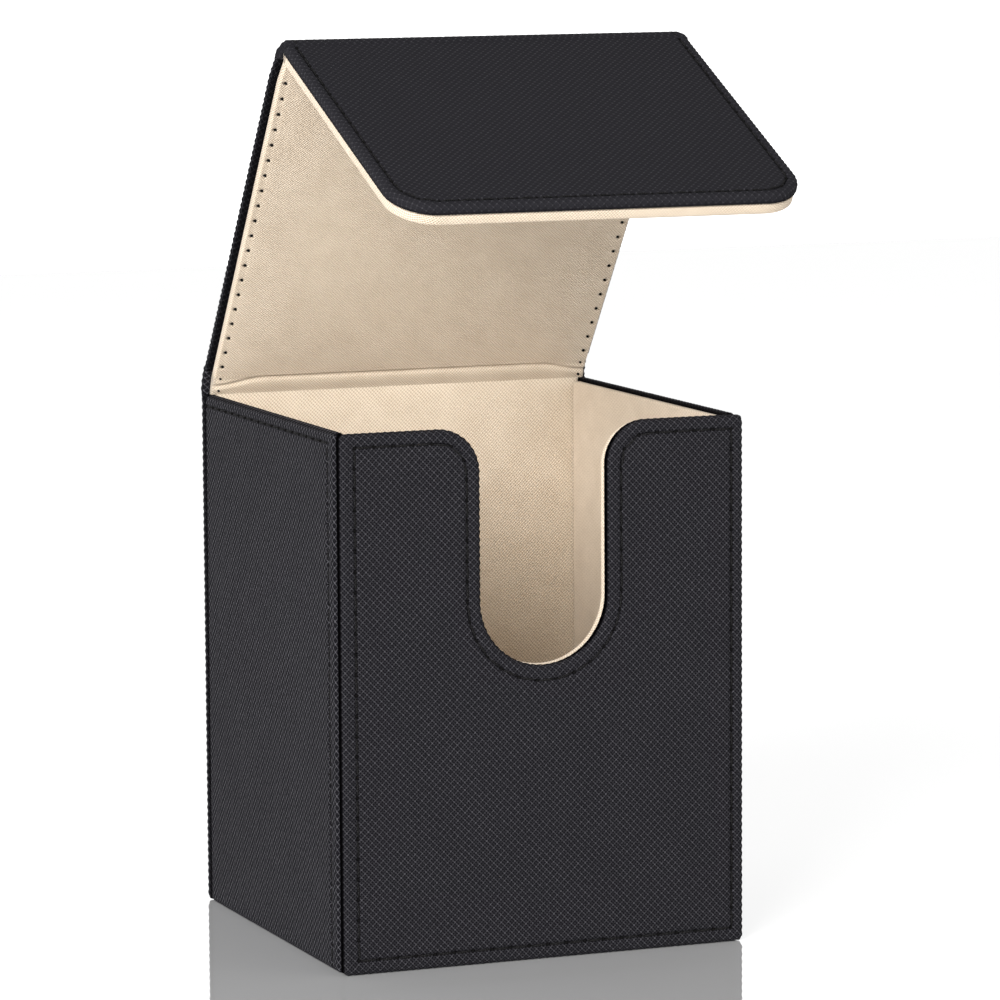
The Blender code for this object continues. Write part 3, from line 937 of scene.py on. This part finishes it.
class Shading:
    """Small helper for building a node graph."""

    def __init__(self, name):
        self.material = bpy.data.materials.get(name) or bpy.data.materials.new(name)
        self.material.use_nodes = True
        self.tree = self.material.node_tree
        self.tree.nodes.clear()
        self.shader = self.tree.nodes.new("ShaderNodeBsdfPrincipled")
        output = self.tree.nodes.new("ShaderNodeOutputMaterial")
        self.tree.links.new(self.shader.outputs[0], output.inputs[0])

    def plug(self, socket, value):
        if isinstance(value, bpy.types.NodeSocket):
            self.tree.links.new(value, socket)
        else:
            socket.default_value = value

    def math(self, operation, *values):
        node = self.tree.nodes.new("ShaderNodeMath")
        node.operation = operation
        for socket, value in zip(node.inputs, values):
            self.plug(socket, value)
        return node.outputs[0]

    def plus(self, first, second):
        return self.math("ADD", first, second)

    def minus(self, first, second):
        return self.math("SUBTRACT", first, second)

    def times(self, first, second):
        return self.math("MULTIPLY", first, second)

    def over(self, first, second):
        return self.math("DIVIDE", first, second)

    def layer(self, name):
        """A UV layer of the piece, as two values and a vector."""
        node = self.tree.nodes.new("ShaderNodeUVMap")
        node.uv_map = name
        parts = self.tree.nodes.new("ShaderNodeSeparateXYZ")
        self.tree.links.new(node.outputs[0], parts.inputs[0])
        return parts.outputs[0], parts.outputs[1], node.outputs[0]

    def place(self):
        """The laid-out position on the piece, in metres."""
        return self.layer("developed")

    def depth(self):
        """How much painted shade a spot gets: 0 on a piece's face, 1 where it is turned right under
        or deep in a hole.
        """
        return self.layer("turned")[0]

    def body_place(self):
        node = self.tree.nodes.new("ShaderNodeTexCoord")
        return node.outputs["Object"]

    def noise(self, vector, scale, detail=2.0, roughness=0.5):
        node = self.tree.nodes.new("ShaderNodeTexNoise")
        self.plug(node.inputs["Vector"], vector)
        node.inputs["Scale"].default_value = scale
        node.inputs["Detail"].default_value = detail
        node.inputs["Roughness"].default_value = roughness
        return node.outputs[0]

    def ramp(self, value, low, high, to_low=0.0, to_high=1.0):
        node = self.tree.nodes.new("ShaderNodeMapRange")
        node.interpolation_type = "SMOOTHSTEP"
        for socket, number in zip(node.inputs, (value, low, high, to_low, to_high)):
            self.plug(socket, number)
        return node.outputs[0]

    def mix(self, share, first, second):
        node = self.tree.nodes.new("ShaderNodeMix")
        node.data_type = "RGBA"
        self.plug(node.inputs["Factor"], share)
        self.plug(node.inputs[6], first if not isinstance(first, tuple) else (*first, 1.0))
        self.plug(node.inputs[7], second if not isinstance(second, tuple) else (*second, 1.0))
        return node.outputs[2]

    def bump(self, height, distance, strength=1.0):
        node = self.tree.nodes.new("ShaderNodeBump")
        node.inputs["Distance"].default_value = distance
        node.inputs["Strength"].default_value = strength
        self.plug(node.inputs["Height"], height)
        self.tree.links.new(node.outputs[0], self.shader.inputs["Normal"])

    def put(self, **values):
        for name, value in values.items():
            socket = self.shader.inputs[name.replace("_", " ")]
            if isinstance(value, tuple) and len(value) == 3:
                value = (*value, 1.0)
            self.plug(socket, value)


def hatch_lines(shade, phase, other, bold_share, woven):
    """Fine strokes twice per pitch, every other one bolder, that weave over the other family."""
    doubled = shade.times(phase, 2.0)
    fraction = shade.math("FRACT", doubled)
    far = shade.math("ABSOLUTE", shade.minus(fraction, 0.5))
    line = shade.ramp(far, 0.24, 0.46)
    bold = shade.math("COSINE", shade.times(phase, TURN))
    line = shade.times(line, shade.math("MULTIPLY_ADD", bold, bold_share, 1 - bold_share))
    crossed = shade.math("COSINE", shade.times(other, TURN))
    return shade.times(line, shade.math("MULTIPLY_ADD", crossed, woven, 1 - woven))


def leather_material(name, bold_share, woven, strength, ground=LEATHER_DARK):
    """Black leatherette pressed with a fine diamond cross-hatch, its ridges painted pale as
    highlight.

    Bold share is how much every other line stands out, woven how much one family of lines
    passes under the other, and strength how bright the lines' painted highlight is.
    """
    shade = Shading(name)
    u, v, vector = shade.place()
    wobble = shade.times(shade.minus(shade.noise(vector, 420.0), 0.5), 0.16)
    down = shade.plus(shade.over(shade.plus(u, v), GRAIN_PITCH), wobble)
    up = shade.minus(shade.over(shade.minus(u, v), GRAIN_PITCH), wobble)
    strong = hatch_lines(shade, down, up, bold_share, woven)
    weak = hatch_lines(shade, up, down, bold_share, woven)
    broken = shade.ramp(shade.noise(vector, 1300.0), 0.32, 0.60, 0.55, 1.0)
    more_broken = shade.ramp(shade.noise(vector, 1700.0), 0.36, 0.62, 0.40, 1.0)
    ridge = shade.math("MAXIMUM", shade.times(strong, broken), shade.times(weak, more_broken))
    speck = shade.noise(vector, 5200.0, 3.0, 0.6)
    height = shade.plus(ridge, shade.times(speck, 0.25))
    wear = shade.ramp(shade.noise(vector, 90.0, 3.0), 0.35, 0.70, 0.95, 1.05)
    flecked = shade.ramp(speck, 0.30, 0.70, 0.75, 1.25)
    # Share of the painted highlight on the ridges
    tone = shade.times(shade.times(ridge, wear), flecked)
    # Painted shade: deep in a groove, seam or hole the pale lines fade, the colour goes to the
    # painted shade colour and the specular drops.
    lit = shade.ramp(shade.depth(), *PAINTED_SHADE_FADE, strength, 0.06)
    painted_shade = shade.ramp(shade.depth(), *PAINTED_SHADE_FADE)
    colour = shade.mix(shade.times(tone, lit), ground, LEATHER_RIDGE_HIGHLIGHT)
    colour = shade.mix(painted_shade, colour, LEATHER_PAINTED_SHADE)
    rough = shade.ramp(ridge, 0.1, 0.9, 0.85, 0.55)
    shine = shade.math("MULTIPLY_ADD", painted_shade, -0.06, 0.06)
    shade.put(Base_Color=colour, Roughness=rough, Specular_IOR_Level=shine)
    shade.bump(height, GRAIN_BUMP, 0.9)
    return shade.material


def weave_family(shade, slant, pitch, wobble):
    phase = shade.plus(shade.over(slant, pitch), wobble)
    return shade.math("SINE", shade.times(phase, TURN))


def lining_material(name, weave, palest):
    """Cream brushed cloth woven from two slanting families of ribs.

    Palest is the tone at which the cloth is at its palest.
    """
    first_pitch, second_pitch, first_share, second_share = weave
    shade = Shading(name)
    u, v, vector = shade.place()
    wobble = shade.times(shade.noise(vector, 380.0, 2.0), 0.45)
    first = weave_family(shade, shade.plus(u, v), first_pitch, wobble)
    second = weave_family(shade, shade.minus(u, v), second_pitch, wobble)
    ribs = shade.plus(shade.times(first, first_share),
                      shade.times(second, second_share))
    nap = shade.noise(vector, 3600.0, 4.0, 0.65)
    height = shade.plus(shade.times(ribs, 0.30), shade.times(nap, 1.0))
    cloud = shade.noise(vector, 160.0, 4.0, 0.6)
    mottle = shade.plus(shade.times(cloud, 0.30), shade.times(nap, 0.70))
    tone = shade.minus(mottle, shade.times(ribs, 0.17))
    colour = shade.mix(shade.ramp(tone, palest, 1.00), LINING_PALE, LINING_DEEP)
    # Painted shade in needle holes and under the folds' turned ends.
    colour = shade.mix(shade.ramp(shade.depth(), *HOLE_SHADE_FADE), colour, LINING_HOLE_SHADE)
    shade.put(Base_Color=colour, Roughness=0.95, Specular_IOR_Level=0.12, Sheen_Weight=0.15)
    shade.bump(height, WEAVE_BUMP, 0.8)
    return shade.material


def thread_material():
    """Matt black twisted thread with painted glints, which are left off as painted shade where it
    lies deep in a hole.
    """
    shade = Shading("thread_black")
    u, v, vector = shade.place()
    twist = shade.plus(shade.over(u, 0.00045), shade.times(v, 500.0))
    ply = shade.math("SINE", shade.times(twist, TURN))
    fuzz = shade.noise(vector, 6000.0, 3.0)
    # Painted shade: thread deep in a hole loses its painted glints.
    shown = shade.minus(1.0, shade.depth())
    glints = shade.times(shade.ramp(fuzz, 0.52, 0.72), shown)
    colour = shade.mix(glints, THREAD_BLACK, THREAD_GLINT)
    shade.put(Base_Color=colour, Roughness=0.9, Specular_IOR_Level=0.15)
    shade.bump(shade.plus(ply, fuzz), 0.00006, 0.8)
    return shade.material


def board_material():
    """Grey pressed board with darker fibres."""
    shade = Shading("board_grey")
    place = shade.body_place()
    fibre = shade.noise(place, 900.0, 5.0, 0.7)
    fleck = shade.ramp(shade.noise(place, 2600.0, 2.0), 0.62, 0.72)
    dark = tuple(value * 0.55 for value in BOARD_GREY)
    colour = shade.mix(shade.times(fleck, 0.6), shade.mix(fibre, BOARD_GREY, dark), dark)
    shade.put(Base_Color=colour, Roughness=0.92)
    shade.bump(fibre, 0.00008, 0.6)
    return shade.material


def magnet_material():
    """Nickel-plated magnet with fine scratches."""
    shade = Shading("magnet_nickel")
    place = shade.body_place()
    scratch = shade.noise(place, 1800.0, 5.0, 0.8)
    rough = shade.ramp(scratch, 0.3, 0.7, 0.18, 0.42)
    shade.put(Base_Color=NICKEL, Metallic=1.0, Roughness=rough)
    shade.bump(scratch, 0.00001, 0.5)
    return shade.material


fine_leather = leather_material("leather_fine", bold_share=0.28, woven=0.30, strength=0.71)
bold_leather = leather_material("leather_bold", bold_share=0.46, woven=0.25, strength=1.10)
flap_leather = leather_material("leather_flap", bold_share=0.40, woven=0.48, strength=0.42,
                                ground=LEATHER_SMOOTH)
lid_cloth = lining_material("lining_cross_weave", LID_WEAVE, palest=0.03)
wall_cloth = lining_material("lining_twill", WALL_WEAVE, palest=0.17)
thread = thread_material()
board = board_material()
nickel = magnet_material()


# Pieces


def skin(name, panel, outline, seams, body, node, seed, finish,
         painted_rim_shade=PLAIN_RIM_PAINTED_SHADE, floor_side=False, calm=None):
    """A leatherette cover and the body it rides on."""
    bottom = 0.00006 if floor_side else 0.0

    def relief(points):
        return seam_relief(points, seams) - bottom

    item = cover_panel(name, panel, outline, LEATHER_PROFILE, relief, finish, seed, painted_rim_shade, calm)
    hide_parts(node)
    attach(item, body)


def stitches(name, runs, body, *nodes):
    points, faces, uvs = joined(runs)
    item = make_mesh(name, points, faces, uvs, thread)
    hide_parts(*nodes)
    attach(item, body)


def pad(name, panel, outline, thickness, seams, cloth, body, node, seed):
    """A padded lining, soft at its edges."""

    def relief(points):
        return hole_relief(points, seams) if seams else np.zeros(len(points))

    profile = lining_profile(thickness)
    item = cover_panel(name, panel, outline, profile, relief, cloth, seed, 0.0)
    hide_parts(node)
    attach(item, body)


def outer_run(panel, seam):
    """A seam's stitches, with the thread going down into each hole, kept dark there by painted
    shade.
    """
    beads = stitch_run(panel, seam, THREAD_HEIGHT, THREAD_SINK, STITCH_RADIUS)
    knots = needle_thread(panel, seam, KNOT_HEIGHT, HOLE_KNOT_RADIUS, KNOT_LENGTH)
    return joined([beads, knots])


def make_front():
    outline = notched(WIDTH / 2, 0.0, HEIGHT)
    insets = (BOTTOM_SEAM_INSET, NOTCH_SEAM_INSET, FRONT_LEFT_SEAM_INSET)
    shares = (inset / FRONT_SEAM_INSET for inset in insets)
    seam_outline = notched(WIDTH / 2, 0.0, HEIGHT, *shares)
    seam = Seam(seam_outline.at(FRONT_SEAM_INSET), BOX_STITCH_PITCH, closed=True)
    skin("front_skin", FRONT, outline, [seam], "box", "front_cover", 11, fine_leather,
         CORNER_RIM_PAINTED_SHADE)
    stitches("front_thread", [outer_run(FRONT, seam)], "box", "front_stitching")
    lining = notched(BASE_WIDTH / 2, LINING_FOOT, HEIGHT - LINING_DROP)
    inner = turned_over(FRONT, SHELL + GLUE_GAP + WALL_LINING)
    pad("front_pad", inner, lining, WALL_LINING, [], wall_cloth, "box", "front_lining", 12)


def wall_pad(name, panel, lining, seed):
    inner = turned_over(panel, SHELL + GLUE_GAP + WALL_LINING)
    pad(name + "_pad", inner, lining, WALL_LINING, [], wall_cloth, "box", name + "_lining", seed)


def make_back():
    side, top = WIDTH / 2 - SEAM_INSET, HEIGHT - SEAM_END
    path = [(-side, top), (-side, SEAM_INSET), (side, SEAM_INSET), (side, top)]
    seam = Seam(path, BOX_STITCH_PITCH)
    skin("back_skin", BACK, back_shape(WIDTH / 2, 0.0), [seam], "box", "back_cover", 21,
         bold_leather, calm=lambda flat: HEIGHT - flat[:, 1])
    stitches("back_thread", [outer_run(BACK, seam)], "box", "back_stitching")
    wall_pad("back", BACK, back_shape(BASE_WIDTH / 2, LINING_FOOT), 22)


def make_side(name, panel, front_sign, seed):
    """A side wall; front_sign says on which side of its own x the box's front lies."""
    half = SIDE_LENGTH / 2 - SIDE_GROOVE
    outline = rectangle(-half, half, 0.0, HEIGHT)
    front = front_sign * (SIDE_LENGTH / 2 - SIDE_SEAM_FRONT_INSET)
    rear = -front_sign * (SIDE_LENGTH / 2 - SIDE_SEAM_END)
    top = HEIGHT - SEAM_INSET
    seam = Seam([(front, SIDE_SEAM_END), (front, top), (rear, top)], BOX_STITCH_PITCH)
    skin(name + "_skin", panel, outline, [seam], "box", name + "_cover", seed,
         bold_leather, CORNER_RIM_PAINTED_SHADE)
    stitches(name + "_thread", [outer_run(panel, seam)], "box", name + "_stitching")
    half = DEPTH / 2 - (SHELL + WALL_LINING + 2 * GLUE_GAP)
    lining = rectangle(-half, half, LINING_FOOT, HEIGHT - WALL_PAD_DROP)
    wall_pad(name, panel, lining, seed + 1)


def make_base():
    half_width, half_depth = BASE_WIDTH / 2, SIDE_LENGTH / 2
    outline = rectangle(-half_width, half_width, -half_depth, half_depth)
    skin("base_skin", BASE, outline, [], "box", "base_cover", 51, bold_leather,
         floor_side=True)
    inner = turned_over(BASE, SHELL + GLUE_GAP + WALL_LINING)
    pad("base_pad", inner, outline, WALL_LINING, [], wall_cloth, "box", "base_lining", 52)


def make_lid():
    low, high = LID_START + SEAM_END, LID_REACH - FOLD_CLEARANCE - SEAM_END
    inner = turned_over(LID, SHELL + GLUE_GAP + LID_LINING)
    seams, insides = [], []
    for side, node in ((1, "lid_stitching_left"), (-1, "lid_stitching_right")):
        path = [(side * (lid_half_width(y) - SEAM_INSET), y) for y in (low, high)]
        seam = Seam(path, LID_STITCH_PITCH)
        ends = (LID_START + NEEDLE_START, high)
        far = [(side * (lid_half_width(y) - NEEDLE_INSET), y) for y in ends]
        inside = mirrored(Seam(far, LID_STITCH_PITCH))
        bits = needle_thread(inner, inside, NEEDLE_DEPTH)
        stitches(node.replace("stitching", "thread"), [outer_run(LID, seam), bits], "lid", node)
        seams.append(seam)
        insides.append(inside)

    def calm(flat):
        return np.minimum(flat[:, 1] - LID_START, LID_REACH - FOLD_CLEARANCE - flat[:, 1])

    skin("lid_skin", LID, lid_shape(), seams, "lid", "lid_cover", 61, bold_leather,
         calm=calm)
    pad("lid_pad", inner, lid_shape(LID_PAD_INSET), LID_LINING, insides,
        lid_cloth, "lid", "lid_lining", 62)


def flap_seam_path(inset):
    """Down one side, round the free end and up the other."""
    near, far = FLAP_NEAR_WIDTH / 2 - inset, FLAP_FAR_WIDTH / 2
    start, turn = FOLD_CLEARANCE + SEAM_END, FLAP_CORNER_RADIUS - inset
    centre_x, centre_y = far - FLAP_CORNER_RADIUS, FLAP_REACH - FLAP_CORNER_RADIUS
    path = [(near, start)]
    for sign, first in ((1, 0.0), (-1, math.pi / 2)):
        for step in range(CORNER_STEPS + 1):
            angle = first + math.pi / 2 * step / CORNER_STEPS
            path.append((sign * centre_x + turn * math.cos(angle),
                         centre_y + turn * math.sin(angle)))
    return path + [(-near, start)]


def make_flap():
    seam = Seam(flap_seam_path(SEAM_INSET), LID_STITCH_PITCH)
    inside = mirrored(Seam(flap_seam_path(NEEDLE_INSET), LID_STITCH_PITCH))
    inner = turned_over(FLAP, SHELL + GLUE_GAP + FLAP_PAD)
    bits = needle_thread(inner, inside, NEEDLE_DEPTH)
    stitches("flap_thread", [outer_run(FLAP, seam), bits], "flap", "flap_stitching")
    skin("flap_skin", FLAP, flap_shape(), [seam], "flap", "flap_cover", 71,
         flap_leather, calm=lambda flat: flat[:, 1] - FOLD_CLEARANCE)
    pad("flap_pad", inner, flap_shape(FLAP_PAD_INSET, FLAP_PAD_SIDE_INSET), FLAP_PAD, [inside],
        lid_cloth, "flap", "flap_lining", 72)


def blended(item, ends):
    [tuple(end) for end in ends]
    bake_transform(item)
    return item


def make_lid_fold():
    ends = ((0.0, HINGE.y, HEIGHT + 0.0003), hinge_point(LID_START, 0.0))
    outer = lid_fold_path(0.0, AXIS_TO_FACE)
    band = fold_strip("lid_fold_skin", outer, lid_fold_path(SHELL, LID_SHELL_BACK),
                      WIDTH / 2, bold_leather, True, 81)
    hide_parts("lid_hinge_strip")
    blended(band, ends)
    soft = fold_strip("lid_fold_pad", lid_fold_path(SHELL + GLUE_GAP, LID_PAD_BACK),
                      lid_fold_face(), WIDTH / 2 - LID_PAD_INSET, lid_cloth, False, 82,
                      towards=lid_crease_towards)
    blended(soft, ends)
    offsets = (WIDTH / 2 - SEAM_INSET, SEAM_INSET - WIDTH / 2)
    runs = fold_stitches(outer, offsets, 0.0001)
    offsets = (WIDTH / 2 - NEEDLE_INSET, NEEDLE_INSET - WIDTH / 2)
    runs += fold_bits(lid_fold_face(END_CREASE_SHARE), offsets, FOLD_BIT_SHARES, 0.0001)
    blended(make_mesh("lid_fold_thread", *joined(runs), thread), ends)


def make_flap_fold():
    ends = (hinge_point(LID_REACH - FOLD_CLEARANCE, 0.0), flap_point(FOLD_CLEARANCE, 0.0))
    outer = flap_fold_path(AXIS_TO_FACE)
    band = fold_strip("flap_fold_skin", outer, flap_fold_path(LID_SHELL_BACK),
                      FLAP_NEAR_WIDTH / 2, flap_leather, True, 91, FOLD_PINCH)
    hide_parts("flap_hinge_strip")
    blended(band, ends)
    soft = fold_strip("flap_fold_pad", flap_fold_path(LID_PAD_BACK), flap_fold_face(),
                      FLAP_NEAR_WIDTH / 2 - (LID_PAD_INSET + FLAP_PAD_SIDE_INSET) / 2,
                      lid_cloth, False, 92, widening=LID_PAD_INSET - FLAP_PAD_SIDE_INSET)
    blended(soft, ends)
    offset = FLAP_NEAR_WIDTH / 2 - SEAM_INSET - FOLD_PINCH / 3
    runs = fold_stitches(outer, (offset, -offset), 0.0003)
    blended(make_mesh("flap_fold_thread", *joined(runs), thread), ends)


def finish_hidden_parts():
    """Boards and magnets stay the CAD's own nodes, with detailed finishes."""
    for name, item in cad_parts.items():
        finish = board if name.endswith("_board") else nickel if "_magnet_" in name else None
        if finish is not None:
            item.data.materials.clear()
            item.data.materials.append(finish)


# Camera, light and floor


def make_camera():
    """The view of the box from the front left."""
    across = Vector((math.cos(CAMERA_YAW), math.sin(CAMERA_YAW), 0.0))
    level = Vector((-math.sin(CAMERA_YAW), math.cos(CAMERA_YAW), 0.0))
    ahead = level * math.cos(CAMERA_PITCH) - Vector((0, 0, math.sin(CAMERA_PITCH)))
    above = level * math.sin(CAMERA_PITCH) + Vector((0, 0, math.cos(CAMERA_PITCH)))
    right = across * math.cos(CAMERA_ROLL) - above * math.sin(CAMERA_ROLL)
    up = across * math.sin(CAMERA_ROLL) + above * math.cos(CAMERA_ROLL)
    data = bpy.data.cameras.new("camera")
    data.lens = CAMERA_LENS_MM
    data.sensor_width = SENSOR_WIDTH_MM
    camera = bpy.data.objects.new("camera", data)
    turn = Matrix((right, up, -ahead)).transposed().to_4x4()
    camera.matrix_world = Matrix.Translation(CAMERA_PLACE) @ turn
    bpy.context.collection.objects.link(camera)
    bpy.context.scene.camera = camera


def area_light(name, place, size, power):
    """A large soft lamp aimed at the middle of the box."""
    data = bpy.data.lights.new(name, "AREA")
    data.shape = "SQUARE"
    data.size = size
    data.energy = power
    lamp = bpy.data.objects.new(name, data)
    lamp.location = place
    aim = Vector((0.0, 0.0, 0.08)) - Vector(place)
    lamp.rotation_euler = aim.to_track_quat("-Z", "Y").to_euler()
    bpy.context.collection.objects.link(lamp)


def make_world():
    """A white surround, dimmer overhead."""
    world = bpy.data.worlds.new("surround")
    world.use_nodes = True
    background = world.node_tree.nodes["Background"]
    background.inputs["Color"].default_value = (1.0, 1.0, 1.0, 1.0)
    tree = world.node_tree
    place = tree.nodes.new("ShaderNodeTexCoord")
    parts = tree.nodes.new("ShaderNodeSeparateXYZ")
    dimmed = tree.nodes.new("ShaderNodeMapRange")
    for socket, value in zip(dimmed.inputs[1:5], (LOW_SKY, HIGH_SKY, WALL_LIGHT, CEILING_LIGHT)):
        socket.default_value = value
    tree.links.new(place.outputs["Generated"], parts.inputs[0])
    tree.links.new(parts.outputs[2], dimmed.inputs[0])
    tree.links.new(dimmed.outputs[0], background.inputs["Strength"])
    bpy.context.scene.world = world


def make_floor():
    """A plain pale floor that gives back a soft reflection."""
    half = FLOOR_HALF_SIZE
    mesh = bpy.data.meshes.new("floor")
    corners = [(-half, -half, 0), (half, -half, 0), (half, half, 0), (-half, half, 0)]
    mesh.from_pydata(corners, [], [(0, 1, 2, 3)])
    floor = bpy.data.objects.new("floor", mesh)
    bpy.context.collection.objects.link(floor)
    material = bpy.data.materials.new("floor_gloss")
    material.use_nodes = True
    tree = material.node_tree
    tree.nodes.clear()
    matt = tree.nodes.new("ShaderNodeBsdfDiffuse")
    matt.inputs["Color"].default_value = FLOOR_WHITE
    gloss = tree.nodes.new("ShaderNodeBsdfGlossy")
    gloss.inputs["Roughness"].default_value = FLOOR_ROUGHNESS
    mix = tree.nodes.new("ShaderNodeMixShader")
    mix.inputs[0].default_value = FLOOR_GLOSS
    output = tree.nodes.new("ShaderNodeOutputMaterial")
    tree.links.new(matt.outputs[0], mix.inputs[1])
    tree.links.new(gloss.outputs[0], mix.inputs[2])
    tree.links.new(mix.outputs[0], output.inputs[0])
    mesh.materials.append(material)


make_front()
make_back()
make_side("left", LEFT, 1, 31)
make_side("right", RIGHT, -1, 41)
make_base()
make_lid()
make_flap()
make_lid_fold()
make_flap_fold()
finish_hidden_parts()
make_world()
make_floor()
area_light("key", (-0.95, -0.95, 0.70), size=0.7, power=27.0)
area_light("fill", (0.9, -0.9, 0.45), size=0.9, power=2.0)
make_camera()
bpy.context.scene.view_settings.view_transform = "Standard"
